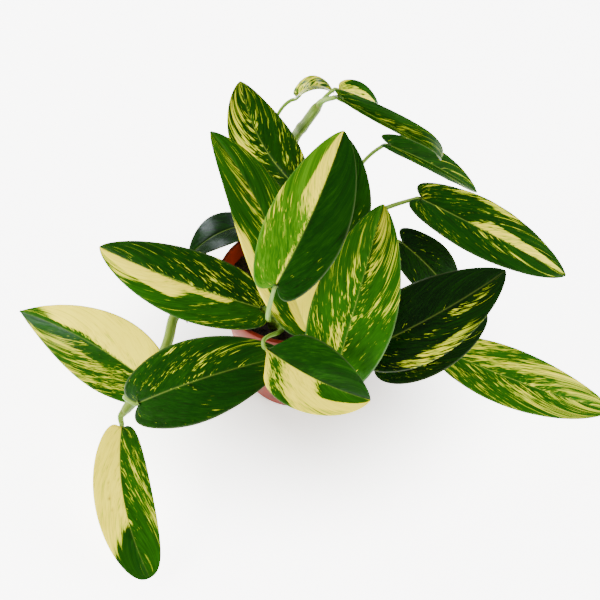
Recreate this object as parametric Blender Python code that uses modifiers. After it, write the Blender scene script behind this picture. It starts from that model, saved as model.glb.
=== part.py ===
"""A trailing variegated monstera in a plain plastic nursery pot.

Metres, +Z up.  The origin is the centre of the pot's underside, on the surface it stands on.
-Y is the front, +X the right.
"""

import math
from dataclasses import dataclass

import bpy
from mathutils import Vector

# Pot: a tapered nursery pot with a stepped rim band and drain holes round a solid centre.
POT_RIM_RADIUS = 0.065
POT_BASE_RADIUS = 0.045
POT_HEIGHT = 0.110
POT_WALL = 0.0016
POT_FLOOR = 0.0022
RIM_BAND_HEIGHT = 0.014
RIM_BAND_STEP = 0.0018
DRAIN_HOLE_RADIUS = 0.004
DRAIN_RING_RADIUS = 0.030
DRAIN_HOLES = 6
TURN_STEPS = 40
CUTTER_SIDES = 16

# Soil fills the pot to a little below its rim.
SOIL_BELOW_RIM = 0.014
SOIL_DOME = 0.003
SOIL_SHOULDER = 0.8
SOCKET_DEPTH = 0.022

# Stems: thick vines, and a thinner petiole from a vine to each blade.
VINE_RADIUS = 0.0042
PETIOLE_RADIUS = 0.0025
PETIOLE_TIP_RADIUS = 0.0015
PETIOLE_COLLAR = 0.003
VINE_POINTS_PER_SPAN = 4
PETIOLE_POINTS = 7

# Blades.
BLADE_THICKNESS = 0.0008
BLADE_END_HALF_WIDTH = 0.0010
BLADE_BASE_FULLNESS = 0.42
BLADE_NOTCH = 0.0035
BLADE_CUP = 0.10
LOBE_FADE = 4
HOOK_FROM = 0.65
BLADE_ROWS = 12
BLADE_COLUMNS = 6

# Fit: neighbours keep this much air between them.
CLEARANCE = 0.0003

# The plant's points are written for a rim of this size, and move with the real one.
DRAWN_RIM_HEIGHT = 0.110
DRAWN_RIM_RADIUS = 0.065

# From this height up they rise with the rim by as much, and below it in proportion.
RISES_WITH_RIM_FROM = 0.060

MM = 0.001
UP = Vector((0, 0, 1))


@dataclass(frozen=True)
class Vine:
    """A main stem: where its foot stands in the soil, then the points it passes through, in mm."""

    name: str
    foot: tuple
    route: tuple


@dataclass(frozen=True)
class Leaf:
    """A blade with its petiole.

    base and tip are the two ends of the midrib in mm, and facing is the way the upper side looks.
    width is the greatest width.  arch bows the midrib towards the upper side and sway towards its
    right, most at the share bow_at of the length, and fold lifts the two halves, in degrees.  A
    greater taper makes a longer point, lobe reaches back beside the notch, and hook turns the tip
    down.  The petiole leaves vine at the share node of its length: it sets off by leaves_by and
    comes to the blade by arrives_by, where they are given.
    """

    name: str
    base: tuple
    tip: tuple
    facing: tuple
    width: float
    vine: str
    node: float
    arch: float = 8.0
    sway: float = 0.0
    bow_at: float = 0.5
    fold: float = 12.0
    taper: float = 0.72
    lobe: float = 12.0
    hook: float = 0.0
    leaves_by: tuple = ()
    arrives_by: tuple = ()


VINES = (
    Vine(
        "vine_left",
        (-34, -6),
        ((-36, -8, 106), (-48, -15, 115), (-62, -22, 117), (-79, -27, 113), (-96, -31, 105),
         (-102, -50, 93), (-114, -72, 77), (-130, -85, 62), (-137, -91, 56)),
    ),
    Vine(
        "vine_top",
        (4, 26),
        ((3, 28, 112), (-4, 46, 138), (-8, 66, 164), (-3, 79, 188), (8, 78, 211), (17, 78, 228)),
    ),
    Vine("vine_centre", (-1, -16), ((0, -22, 113),)),
    Vine("vine_front", (-19, -36), ((-20, -42, 112),)),
    Vine(
        "vine_right",
        (30, -6),
        ((32, -7, 110), (46, -12, 122), (68, -18, 120), (92, -28, 104), (110, -38, 86)),
    ),
    Vine("vine_back", (26, 22), ((29, 26, 110), (37, 36, 121), (45, 44, 126))),
)

LEAVES = (
    Leaf(
        "left_far", (-116, -60, 50), (-233, 19, 49), (0.1, -0.5, 0.9), 64, "vine_left", 0.84,
        arch=6, sway=5, taper=0.95,
    ),
    Leaf(
        "left_front", (-123, -92, 71), (-6, -75, 109), (0, -0.6, 0.8), 66, "vine_left", 0.94,
        sway=-3, leaves_by=(-0.6, 0.2, 0.8), arrives_by=(0.9, -0.1, 0.1),
    ),
    Leaf(
        "left_upper", (-29, -38, 122), (-157, 15, 134), (-0.1, -0.6, 0.8), 56, "vine_left", 0.18,
        sway=-3, leaves_by=(0.5, -1, 0.9), arrives_by=(-0.3, -0.1, 0.95),
    ),
    Leaf(
        "left_hanging", (-138, -103, 52), (-112, -210, 6), (0.1, -0.3, 0.9), 46, "vine_left", 1.0,
        sway=9, taper=0.42, lobe=5,
    ),
    Leaf(
        "front_folded", (-22, -85, 129), (56, -111, 100), (0, -0.6, 0.8), 60, "vine_front", 0.82,
        arch=3, sway=4, fold=24, taper=0.72, lobe=-5, leaves_by=(0.1, -0.9, 1), arrives_by=(0.3, -0.9, 0),
    ),
    Leaf(
        "centre_front", (-15, -57, 172), (35, 26, 250), (0, -0.7, 0.7), 62, "vine_front", 1.0,
        sway=3, leaves_by=(-0.4, -0.9, 0.8),
    ),
    Leaf(
        "centre_tall", (8, -56, 115), (-65, 41, 235), (0, -0.7, 0.7), 52, "vine_centre", 1.0,
        sway=9, bow_at=0.6, lobe=3,
    ),
    Leaf(
        "front_marbled", (29, -89, 100), (65, -6, 205), (0, -0.7, 0.7), 67, "vine_right", 0.24,
        leaves_by=(-0.3, -0.8, 1.4), arrives_by=(0, -0.7, -0.7),
    ),
    Leaf(
        "back_flecked", (-3, 48, 172), (-44, 94, 238), (0, -0.7, 0.7), 50, "vine_top", 0.4,
        sway=-7,
    ),
    Leaf("back_dark", (36, 16, 140), (38, 62, 210), (0, -0.7, 0.7), 44, "vine_back", 0.55),
    Leaf(
        "back_left", (-36, 53, 119), (-88, 27, 109), (-0.4, 0, 0.9), 44, "vine_top", 0.28,
        lobe=5, leaves_by=(-1, 0.3, 0.6), arrives_by=(-0.8, -0.5, -0.2),
    ),
    Leaf(
        "top_left", (0, 114, 206), (30, 116, 206), (0, 0.3, 0.9), 28, "vine_top", 0.6,
        fold=15, lobe=4, leaves_by=(-0.6, 0.8, 0.6), arrives_by=(0.9, -0.1, 0.3),
    ),
    Leaf(
        "top_middle", (34, 100, 224), (66, 102, 193), (0.4, -0.3, 0.9), 28, "vine_top", 0.84,
        arch=5, fold=15, lobe=3,
    ),
    Leaf(
        "top_arched", (34, 69, 243), (125, 57, 192), (0.2, -0.35, 0.9), 24, "vine_top", 1.0,
        arch=-2, fold=50, taper=0.5, hook=14,
    ),
    Leaf(
        "right_back", (75, 89, 174), (150, 89, 120), (0.4, -0.15, 0.9), 30, "vine_top", 0.33,
        arch=4, fold=30, leaves_by=(1, 0.5, 0.2), arrives_by=(0.8, 0, 0.5),
    ),
    Leaf(
        "right_upper", (101, 54, 148), (221, 24, 89), (0.25, -0.35, 0.9), 52, "vine_back", 1.0,
        sway=3, arrives_by=(0.9, 0, 0.35),
    ),
    Leaf(
        "right_dark", (51, -67, 105), (161, -24, 150), (0, -0.5, 0.8), 62, "vine_right", 0.38,
        sway=4, lobe=6, leaves_by=(-0.4, -1, 0.6), arrives_by=(0.6, -0.7, -0.5),
    ),
    Leaf(
        "right_inner", (86, 33, 118), (132, 8, 72), (0.3, -0.5, 0.8), 44, "vine_back", 0.78,
        leaves_by=(1, 0, 1),
    ),
    Leaf(
        "right_far", (121, -46, 76), (255, -70, 30), (0.2, -0.4, 0.9), 50, "vine_right", 1.0,
        arch=5, sway=5,
    ),
    Leaf(
        "right_under", (60, -70, 89), (152, -26, 97), (0, -0.5, 0.9), 55, "vine_right", 0.46,
        lobe=3, leaves_by=(-0.2, -1, 0.5), arrives_by=(0.3, -0.45, -0.85),
    ),
)

# Colour, roughness of each material.
TERRACOTTA_PLASTIC = ("terracotta_plastic", (0.36, 0.10, 0.055), 0.45)
POTTING_SOIL = ("potting_soil", (0.035, 0.024, 0.018), 0.95)
VINE_SKIN = ("vine_skin", (0.13, 0.26, 0.06), 0.45)
PETIOLE_SKIN = ("petiole_skin", (0.19, 0.34, 0.08), 0.42)
BLADE_SKIN = ("blade_skin", (0.045, 0.16, 0.035), 0.30)


def clear_scene():
    for old in list(bpy.data.objects):
        bpy.data.objects.remove(old, do_unlink=True)


def make_collection(name, helper=False):
    collection = bpy.data.collections.new(name)
    collection.hide_render = helper
    bpy.context.scene.collection.children.link(collection)
    return collection


def make_material(finish):
    name, colour, roughness = finish
    material = bpy.data.materials.get(name) or bpy.data.materials.new(name)
    material.use_nodes = True
    shader = material.node_tree.nodes["Principled BSDF"]
    shader.inputs["Base Color"].default_value = (*colour, 1.0)
    shader.inputs["Roughness"].default_value = roughness
    return material


def add_object(name, data, collection, finish=None):
    obj = bpy.data.objects.new(name, data)
    collection.objects.link(obj)
    if finish:
        data.materials.append(make_material(finish))
    return obj


def spread_with_rim(x, y):
    """A drawn place in metres: outside the rim it moves out with the rim, inside it in proportion."""
    reach = max(math.hypot(x, y), DRAWN_RIM_RADIUS)
    widening = 1 + (POT_RIM_RADIUS - DRAWN_RIM_RADIUS) / reach
    return x * widening, y * widening


def at_rim(point):
    """A drawn point in metres: its upper part rises with the rim, its lower part in proportion."""
    x, y, z = (value * MM for value in point)
    rise = (POT_HEIGHT - DRAWN_RIM_HEIGHT) * min(z / RISES_WITH_RIM_FROM, 1.0)
    return Vector((*spread_with_rim(x, y), z + rise))


def foot_place(vine):
    return spread_with_rim(*(value * MM for value in vine.foot))


# Pot and soil


def wall_radius(height):
    """Outer radius of the pot's tapered wall, below its rim band."""
    top = POT_RIM_RADIUS - RIM_BAND_STEP
    return POT_BASE_RADIUS + (top - POT_BASE_RADIUS) * height / POT_HEIGHT


def turned(name, profile, collection, finish):
    """A closed solid of revolution from a profile whose two ends lie on the Z axis."""
    mesh = bpy.data.meshes.new(name)
    points = [(radius, 0.0, height) for radius, height in profile]
    mesh.from_pydata(points, [(i, i + 1) for i in range(len(points) - 1)], [])
    obj = add_object(name, mesh, collection, finish)
    screw = obj.modifiers.new("turn", "SCREW")
    screw.steps = screw.render_steps = TURN_STEPS
    screw.use_merge_vertices = True
    screw.merge_threshold = 0.0001
    screw.use_smooth_shade = True
    return obj


def subtract(obj, cutter):
    cut = obj.modifiers.new("cut", "BOOLEAN")
    cut.operation = "DIFFERENCE"
    cut.object = cutter


def upright_cutter(name, radius, x, y, bottom, top, collection):
    bpy.ops.mesh.primitive_cylinder_add(
        vertices=CUTTER_SIDES,
        radius=radius,
        depth=top - bottom,
        location=(x, y, (bottom + top) / 2),
    )
    cutter = bpy.context.object
    cutter.name = name
    for home in list(cutter.users_collection):
        home.objects.unlink(cutter)
    collection.objects.link(cutter)
    cutter.hide_render = True
    cutter.display_type = "WIRE"
    return cutter


def build_pot(parts, cutters):
    inner_top = wall_radius(POT_HEIGHT) - POT_WALL
    inner_base = wall_radius(POT_FLOOR) - POT_WALL
    band_bottom = POT_HEIGHT - RIM_BAND_HEIGHT
    lip = POT_WALL / 2
    profile = [
        (0.0, POT_FLOOR),
        (inner_base, POT_FLOOR),
        (inner_top, POT_HEIGHT - lip),
        (inner_top + lip, POT_HEIGHT),
        (POT_RIM_RADIUS - lip, POT_HEIGHT),
        (POT_RIM_RADIUS, POT_HEIGHT - lip),
        (POT_RIM_RADIUS, band_bottom),
        (wall_radius(band_bottom), band_bottom),
        (wall_radius(lip), lip),
        (POT_BASE_RADIUS - lip, 0.0),
        (0.0, 0.0),
    ]
    pot = turned("pot", profile, parts, TERRACOTTA_PLASTIC)
    for index in range(DRAIN_HOLES):
        angle = math.tau * index / DRAIN_HOLES
        x = DRAIN_RING_RADIUS * math.cos(angle)
        y = DRAIN_RING_RADIUS * math.sin(angle)
        name = f"drain_cutter_{index + 1}"
        hole = upright_cutter(name, DRAIN_HOLE_RADIUS, x, y, -POT_FLOOR, 2 * POT_FLOOR, cutters)
        subtract(pot, hole)
    return pot


def soil_top():
    return POT_HEIGHT - SOIL_BELOW_RIM


def build_soil(parts, cutters):
    bottom = POT_FLOOR + CLEARANCE
    gap = POT_WALL + CLEARANCE
    profile = [
        (0.0, soil_top() + SOIL_DOME),
        (wall_radius(soil_top()) / 2, soil_top() + SOIL_DOME * SOIL_SHOULDER),
        (wall_radius(soil_top()) - gap, soil_top()),
        (wall_radius(bottom) - gap, bottom),
        (0.0, bottom),
    ]
    soil = turned("soil", profile, parts, POTTING_SOIL)
    for vine in VINES:
        x, y = foot_place(vine)
        name = f"socket_cutter_{vine.name}"
        radius = VINE_RADIUS + CLEARANCE
        subtract(soil, upright_cutter(name, radius, x, y, socket_floor(), POT_HEIGHT, cutters))
    return soil


def socket_floor():
    return soil_top() - SOCKET_DEPTH


# Stems


def smooth_through(points, per_span):
    """Points along a Catmull-Rom curve through the inner points of a list."""
    path = []
    for before, start, end, after in zip(points, points[1:], points[2:], points[3:]):
        for step in range(per_span):
            t = step / per_span
            path.append(
                0.5
                * (
                    2 * start
                    + (end - before) * t
                    + (2 * before - 5 * start + 4 * end - after) * t**2
                    + (3 * start - before - 3 * end + after) * t**3
                )
            )
    return path + [points[-2]]


def vine_path(vine):
    """The vine's centre line, from its foot in the soil to its end."""
    x, y = foot_place(vine)
    foot = Vector((x, y, socket_floor() + CLEARANCE))
    collar = Vector((x, y, soil_top() + 2 * SOIL_DOME))
    route = [collar] + [at_rim(point) for point in vine.route]
    beyond = route[-1] + (route[-1] - route[-2])
    return [foot] + smooth_through([foot] + route + [beyond], VINE_POINTS_PER_SPAN)


def point_along(path, share):
    """The point and the direction at a share of a path's length."""
    spans = [(end - start).length for start, end in zip(path, path[1:])]
    left = share * sum(spans)
    for start, end, span in zip(path, path[1:], spans):
        if left <= span:
            return start.lerp(end, left / span), (end - start).normalized()
        left -= span
    return path[-1].copy(), (path[-1] - path[-2]).normalized()


def tube(name, path, radii, collection, finish):
    curve = bpy.data.curves.new(name, "CURVE")
    curve.dimensions = "3D"
    curve.bevel_depth = 1.0
    curve.bevel_resolution = 2
    curve.use_fill_caps = True
    spline = curve.splines.new("POLY")
    spline.points.add(len(path) - 1)
    for point, place, radius in zip(spline.points, path, radii):
        point.co = (*place, 1.0)
        point.radius = radius
    spline.use_smooth = True
    return add_object(name, curve, collection, finish)


def build_vine(vine, parts):
    path = vine_path(vine)
    return tube(vine.name, path, [VINE_RADIUS] * len(path), parts, VINE_SKIN)


# Leaves


def leaf_frame(leaf):
    """Base, length, and the directions along, out of the upper side of, and across a blade."""
    base = at_rim(leaf.base)
    chord = at_rim(leaf.tip) - base
    along = chord.normalized()
    facing = Vector(leaf.facing)
    out = (facing - along * facing.dot(along)).normalized()
    return base, chord.length, along, out, along.cross(out)


def bow(t, bow_at):
    """0 at both ends and 1 at bow_at."""
    return (t / bow_at) ** (bow_at / (1 - bow_at)) * (1 - t) / (1 - bow_at)


def midrib_point(leaf, t):
    base, length, along, out, right = leaf_frame(leaf)
    lift = bow(t, leaf.bow_at) * MM
    hooked = leaf.hook * MM * (max(t - HOOK_FROM, 0.0) / (1 - HOOK_FROM)) ** 2
    place = base + along * length * t + out * leaf.arch * lift + right * leaf.sway * lift
    return place - (out + along / 2) * hooked


def midrib_frame(leaf, t):
    """The midrib's point, direction, upper side and right side at the share t of its length."""
    step = 0.01
    start = max(t - step, 0.0)
    end = min(t + step, 1.0)
    along = (midrib_point(leaf, end) - midrib_point(leaf, start)).normalized()
    out = leaf_frame(leaf)[3]
    out = (out - along * out.dot(along)).normalized()
    return midrib_point(leaf, t), along, out, along.cross(out)


def fullness(leaf, t):
    """Half the width at t, as a share of half the greatest width."""
    widest = BLADE_BASE_FULLNESS / (BLADE_BASE_FULLNESS + leaf.taper)
    return (t / widest) ** BLADE_BASE_FULLNESS * ((1 - t) / (1 - widest)) ** leaf.taper


def blade_point(leaf, t, s):
    """A point of the upper surface: t runs from base to tip, s from the left edge to the right."""
    place, along, out, right = midrib_frame(leaf, t)
    full = fullness(leaf, t)
    half = max(leaf.width * MM / 2 * full, BLADE_END_HALF_WIDTH)
    fold = math.radians(leaf.fold)
    across = right * s * half * math.cos(fold)
    rise = out * half * (abs(s) * math.sin(fold) - BLADE_CUP * s * s)
    back = leaf.lobe * MM * s * s * 4 * full * (1 - full) * (1 - t) ** LOBE_FADE
    return place + across + rise - along * back


def build_blade(leaf, parts):
    bpy.ops.mesh.primitive_grid_add(
        x_subdivisions=BLADE_ROWS, y_subdivisions=BLADE_COLUMNS, size=1.0
    )
    blade = bpy.context.object
    blade.name = blade.data.name = f"leaf_{leaf.name}"
    for home in list(blade.users_collection):
        home.objects.unlink(blade)
    parts.objects.link(blade)
    for vertex in blade.data.vertices:
        t = 0.5 - 0.5 * math.cos(math.pi * min(max(vertex.co.x + 0.5, 0.0), 1.0))
        vertex.co = blade_point(leaf, t, -2 * vertex.co.y)
    blade.data.materials.append(make_material(BLADE_SKIN))
    blade.data.shade_smooth()
    wall = blade.modifiers.new("thickness", "SOLIDIFY")
    wall.thickness = BLADE_THICKNESS
    wall.offset = -1.0
    return blade


def bezier(start, first, second, end, count):
    path = []
    for index in range(count):
        t = index / (count - 1)
        u = 1 - t
        path.append(start * u**3 + first * 3 * u * u * t + second * 3 * u * t * t + end * t**3)
    return path


def petiole_path(leaf):
    """From the vine's skin, which it leaves squarely, to the notch at the blade's base."""
    vine = next(vine for vine in VINES if vine.name == leaf.vine)
    node, direction = point_along(vine_path(vine), leaf.node)
    base, along, out, _ = midrib_frame(leaf, 0.0)
    end = base - along * BLADE_NOTCH - out * PETIOLE_TIP_RADIUS
    away = (Vector(leaf.leaves_by) if leaf.leaves_by else end - node).normalized()
    if leaf.node == 1.0:
        off = direction
        start = node + off * CLEARANCE
    else:
        off = (away - direction * away.dot(direction)).normalized()
        start = node + off * (VINE_RADIUS + CLEARANCE)
    collar = start + off * PETIOLE_COLLAR
    arrival = (Vector(leaf.arrives_by) if leaf.arrives_by else along + UP).normalized()
    reach = (end - collar).length / 3
    bend = (away + off).normalized() * reach
    return [start] + bezier(collar, collar + bend, end - arrival * reach, end, PETIOLE_POINTS)


def build_petiole(leaf, parts):
    path = petiole_path(leaf)
    last = len(path) - 1
    radii = [
        PETIOLE_RADIUS + (PETIOLE_TIP_RADIUS - PETIOLE_RADIUS) * index / last
        for index in range(len(path))
    ]
    return tube(f"petiole_{leaf.name}", path, radii, parts, PETIOLE_SKIN)


def main():
    clear_scene()
    parts = make_collection("potted_monstera")
    cutters = make_collection("cutters", helper=True)
    build_pot(parts, cutters)
    build_soil(parts, cutters)
    for vine in VINES:
        build_vine(vine, parts)
    for leaf in LEAVES:
        build_blade(leaf, parts)
        build_petiole(leaf, parts)


main()
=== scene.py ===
"""A trailing variegated monstera in a plain plastic nursery pot.

The blades, petioles, stems, soil and pot are built finely around the frame's solids.
Metres, +Z up, with the origin at the centre of the pot's underside.  -Y is the front.
"""

import logging
import math
from dataclasses import dataclass, field
from enum import Enum
from typing import Callable, Sequence

import bmesh
import bpy
import numpy as np
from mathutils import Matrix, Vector


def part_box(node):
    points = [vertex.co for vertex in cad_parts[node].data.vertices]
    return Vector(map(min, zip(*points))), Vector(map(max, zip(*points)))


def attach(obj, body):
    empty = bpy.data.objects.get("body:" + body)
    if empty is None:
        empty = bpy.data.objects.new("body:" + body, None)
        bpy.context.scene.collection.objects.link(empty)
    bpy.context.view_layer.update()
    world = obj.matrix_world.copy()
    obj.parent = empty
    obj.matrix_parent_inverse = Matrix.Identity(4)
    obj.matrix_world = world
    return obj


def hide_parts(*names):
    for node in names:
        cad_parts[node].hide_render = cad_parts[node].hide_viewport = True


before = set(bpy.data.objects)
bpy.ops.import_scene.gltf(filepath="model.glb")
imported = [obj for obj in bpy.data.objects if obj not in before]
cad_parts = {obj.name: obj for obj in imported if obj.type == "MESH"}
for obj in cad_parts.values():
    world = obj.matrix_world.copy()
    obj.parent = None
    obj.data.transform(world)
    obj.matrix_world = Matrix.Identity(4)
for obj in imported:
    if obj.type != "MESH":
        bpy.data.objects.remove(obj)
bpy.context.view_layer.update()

log = logging.getLogger("potted_monstera")

MM = 0.001
BODY = "root"
SOIL_BELOW_RIM = 14.0 * MM
SOCKET_DEPTH = 22.0 * MM
COLLAR_BELOW_RIM = 8.0 * MM
AIR_GAP = 0.3 * MM
UP = np.array((0.0, 0.0, 1.0))
FULL_TURN = 2.0 * math.pi


class Slot(Enum):
    """The record's material slots."""

    POT = "terracotta_plastic"
    SOIL = "potting_soil"
    VINE = "vine_skin"
    PETIOLE = "petiole_skin"
    BLADE = "blade_skin"


class Side(Enum):
    """The two sides of a blade."""

    UPPER = "upper"
    LOWER = "lower"


# Small helpers


def unit(vectors: np.ndarray) -> np.ndarray:
    """Scale vectors to a length of one.

    Args:
        vectors: One vector, or an array of them.

    Returns:
        The same directions at unit length.
    """
    return vectors / np.linalg.norm(vectors, axis=-1, keepdims=True)


def linear(hex_colour: str) -> tuple[float, float, float, float]:
    """Turn an sRGB hex colour to linear light.

    Args:
        hex_colour: A colour such as "#8E4E3D".

    Returns:
        Linear red, green, blue and an alpha of one.
    """
    channels = (int(hex_colour[i : i + 2], 16) / 255 for i in (1, 3, 5))
    curve = (c / 12.92 if c <= 0.04045 else ((c + 0.055) / 1.055) ** 2.4 for c in channels)
    return (*curve, 1.0)


def window(values: np.ndarray, low: float, high: float, soft: float) -> np.ndarray:
    """A smooth box: one between two limits and zero outside them.

    Args:
        values: Where to read the box.
        low: The lower limit.
        high: The upper limit.
        soft: How far each edge takes to fall.

    Returns:
        The box's height at each value.
    """
    rise = np.clip((values - low) / soft + 0.5, 0, 1)
    fall = np.clip((high - values) / soft + 0.5, 0, 1)
    both = np.minimum(rise, fall)
    return both * both * (3 - 2 * both)


def node(
    tree: bpy.types.NodeTree, kind: str, settings: dict | None = None, **links: object
) -> bpy.types.Node:
    """Add a node with its settings and links.

    Args:
        tree: The tree to add to.
        kind: The node's type name.
        settings: Attributes to set on the node.
        **links: Socket name, with spaces as underscores, or i0, i1 for a place in the list.
            The value is an output socket to link, or a constant.

    Returns:
        The new node.
    """
    made = tree.nodes.new(kind)
    for name, value in (settings or {}).items():
        setattr(made, name, value)
    for name, value in links.items():
        if name[0] == "i" and name[1:].isdigit():
            socket = made.inputs[int(name[1:])]
        else:
            socket = made.inputs[name.replace("_", " ")]
        if isinstance(value, bpy.types.NodeSocket):
            tree.links.new(value, socket)
        else:
            socket.default_value = value
    return made


def maths(tree: bpy.types.NodeTree, operation: str, *values: object) -> bpy.types.NodeSocket:
    """Add one Math node.

    Args:
        tree: The tree to add to.
        operation: The node's operation.
        *values: Sockets or numbers for its inputs, in order.

    Returns:
        The result's socket.
    """
    links = {f"i{i}": value for i, value in enumerate(values)}
    return node(tree, "ShaderNodeMath", {"operation": operation}, **links).outputs[0]


def ramp(
    tree: bpy.types.NodeTree, value: bpy.types.NodeSocket, stops: Sequence[tuple[float, str]]
) -> bpy.types.NodeSocket:
    """Add a colour ramp.

    Args:
        tree: The tree to add to.
        value: What drives the ramp.
        stops: Places from 0 to 1, each with its hex colour.

    Returns:
        The colour's socket.
    """
    made = node(tree, "ShaderNodeValToRGB", Fac=value)
    elements = made.color_ramp.elements
    for _ in range(len(stops) - 2):
        elements.new(0.5)
    for element, (place, colour) in zip(elements, stops):
        element.position = place
        element.color = linear(colour)
    return made.outputs[0]


def mixed(
    tree: bpy.types.NodeTree, share: object, first: object, second: object
) -> bpy.types.NodeSocket:
    """Mix two colours.

    Args:
        tree: The tree to add to.
        share: How much of the second colour shows.
        first: A colour socket or a hex colour.
        second: A colour socket or a hex colour.

    Returns:
        The mixed colour's socket.
    """
    made = node(tree, "ShaderNodeMix", {"data_type": "RGBA"}, Factor=share)
    for socket, colour in zip((made.inputs[6], made.inputs[7]), (first, second)):
        if isinstance(colour, str):
            socket.default_value = linear(colour)
        else:
            tree.links.new(colour, socket)
    return made.outputs[2]


def closed_piece(
    name: str,
    points: np.ndarray,
    faces: Sequence[Sequence[int]],
    attributes: dict[str, np.ndarray] | None = None,
) -> bpy.types.Object:
    """Make a smooth mesh object at the origin.

    Args:
        name: The piece's name.
        points: Its vertices in metres.
        faces: Its faces.
        attributes: Vectors kept on its vertices, by name.

    Returns:
        The new object, linked to the scene.
    """
    mesh = bpy.data.meshes.new(name)
    mesh.from_pydata(points.tolist(), [], faces)
    for key, values in (attributes or {}).items():
        stored = mesh.attributes.new(key, "FLOAT_VECTOR", "POINT")
        stored.data.foreach_set("vector", np.asarray(values, np.float32).ravel())
    mesh.shade_smooth()
    piece = bpy.data.objects.new(name, mesh)
    bpy.context.scene.collection.objects.link(piece)
    return piece


def faces_outward(piece: bpy.types.Object) -> None:
    """Merge doubles and turn every face of a piece outwards.

    Args:
        piece: The closed piece to put right.
    """
    work = bmesh.new()
    work.from_mesh(piece.data)
    bmesh.ops.remove_doubles(work, verts=work.verts, dist=1e-6)
    bmesh.ops.recalc_face_normals(work, faces=work.faces)
    work.to_mesh(piece.data)
    work.free()


def baked(piece: bpy.types.Object) -> bpy.types.Object:
    """Swap a piece for its evaluated mesh, with no modifier left.

    Args:
        piece: An object with live modifiers.

    Returns:
        A plain mesh object of the same name.
    """
    name = piece.name
    graph = bpy.context.evaluated_depsgraph_get()
    mesh = bpy.data.meshes.new_from_object(
        piece.evaluated_get(graph), preserve_all_data_layers=True, depsgraph=graph
    )
    bpy.data.objects.remove(piece, do_unlink=True)
    mesh.name = name
    plain = bpy.data.objects.new(name, mesh)
    bpy.context.scene.collection.objects.link(plain)
    return plain


def hand_over(piece: bpy.types.Object, slot: Slot, *nodes: str) -> None:
    """Hang a finished piece on its body and hide the frame's solids that it stands for.

    Args:
        piece: The finished piece.
        slot: The record's material slot; not used.
        *nodes: The frame's solids that the piece stands for.
    """
    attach(piece, BODY)
    if nodes:
        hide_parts(*nodes)
    log.info("%s: %d faces", piece.name, len(piece.data.polygons))


# Geometry Nodes trees


@dataclass
class GeometryTree:
    """A Geometry Nodes tree under construction, with named inputs."""

    name: str
    tree: bpy.types.NodeTree = field(init=False)
    start: bpy.types.Node = field(init=False)

    def __post_init__(self) -> None:
        """Start the tree with one geometry input and one output."""
        self.tree = bpy.data.node_groups.new(self.name, "GeometryNodeTree")
        sockets = self.tree.interface
        sockets.new_socket("Geometry", in_out="INPUT", socket_type="NodeSocketGeometry")
        sockets.new_socket("Geometry", in_out="OUTPUT", socket_type="NodeSocketGeometry")
        self.start = self.tree.nodes.new("NodeGroupInput")

    def size(self, name: str) -> bpy.types.NodeSocket:
        """Add a named number to the tree's inputs and give its socket."""
        self.tree.interface.new_socket(name, in_out="INPUT", socket_type="NodeSocketFloat")
        return self.start.outputs[name]

    def end(self, geometry: bpy.types.NodeSocket, material: bpy.types.Material) -> None:
        """Close the tree with realised instances and one material.

        Args:
            geometry: The finished geometry.
            material: Its material.
        """
        smooth = node(self.tree, "GeometryNodeSetShadeSmooth", Geometry=geometry)
        real = node(self.tree, "GeometryNodeRealizeInstances", Geometry=smooth.outputs[0])
        last = node(self.tree, "GeometryNodeSetMaterial", Geometry=real.outputs[0])
        last.inputs["Material"].default_value = material
        finish = self.tree.nodes.new("NodeGroupOutput")
        self.tree.links.new(last.outputs[0], finish.inputs[0])

    def put_on(self, piece: bpy.types.Object, **sizes: float) -> bpy.types.Modifier:
        """Add the tree to a piece as a modifier.

        Args:
            piece: The object to modify.
            **sizes: A value for each named input, with spaces as underscores.

        Returns:
            The modifier.
        """
        modifier = piece.modifiers.new(self.name, "NODES")
        modifier.node_group = self.tree
        for item in self.tree.interface.items_tree:
            key = item.name.replace(" ", "_")
            if item.in_out == "INPUT" and key in sizes:
                modifier[item.identifier] = float(sizes[key])
        return modifier


# Finishes


@dataclass(frozen=True)
class Finish:
    """A real material, with the shader's plain numbers."""

    name: str
    roughness: float
    ior: float = 1.5

    def shader(self) -> tuple[bpy.types.Material, bpy.types.NodeTree, bpy.types.Node]:
        """Start the material.

        Returns:
            The material, its tree and its shader node.
        """
        material = bpy.data.materials.new(self.name)
        material.use_nodes = True
        shader = material.node_tree.nodes["Principled BSDF"]
        shader.inputs["Roughness"].default_value = self.roughness
        shader.inputs["IOR"].default_value = self.ior
        return material, material.node_tree, shader

    @staticmethod
    def bump(
        tree: bpy.types.NodeTree,
        shader: bpy.types.Node,
        height: bpy.types.NodeSocket,
        depth_mm: float,
        strength: float,
    ) -> None:
        """Give a shader a bump.

        Args:
            tree: The material's tree.
            shader: Its shader node.
            height: The height, from 0 to 1.
            depth_mm: How deep a height of one is.
            strength: How much of it shows.
        """
        made = node(
            tree, "ShaderNodeBump", Height=height, Distance=depth_mm * MM, Strength=strength
        )
        tree.links.new(made.outputs[0], shader.inputs["Normal"])


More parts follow.
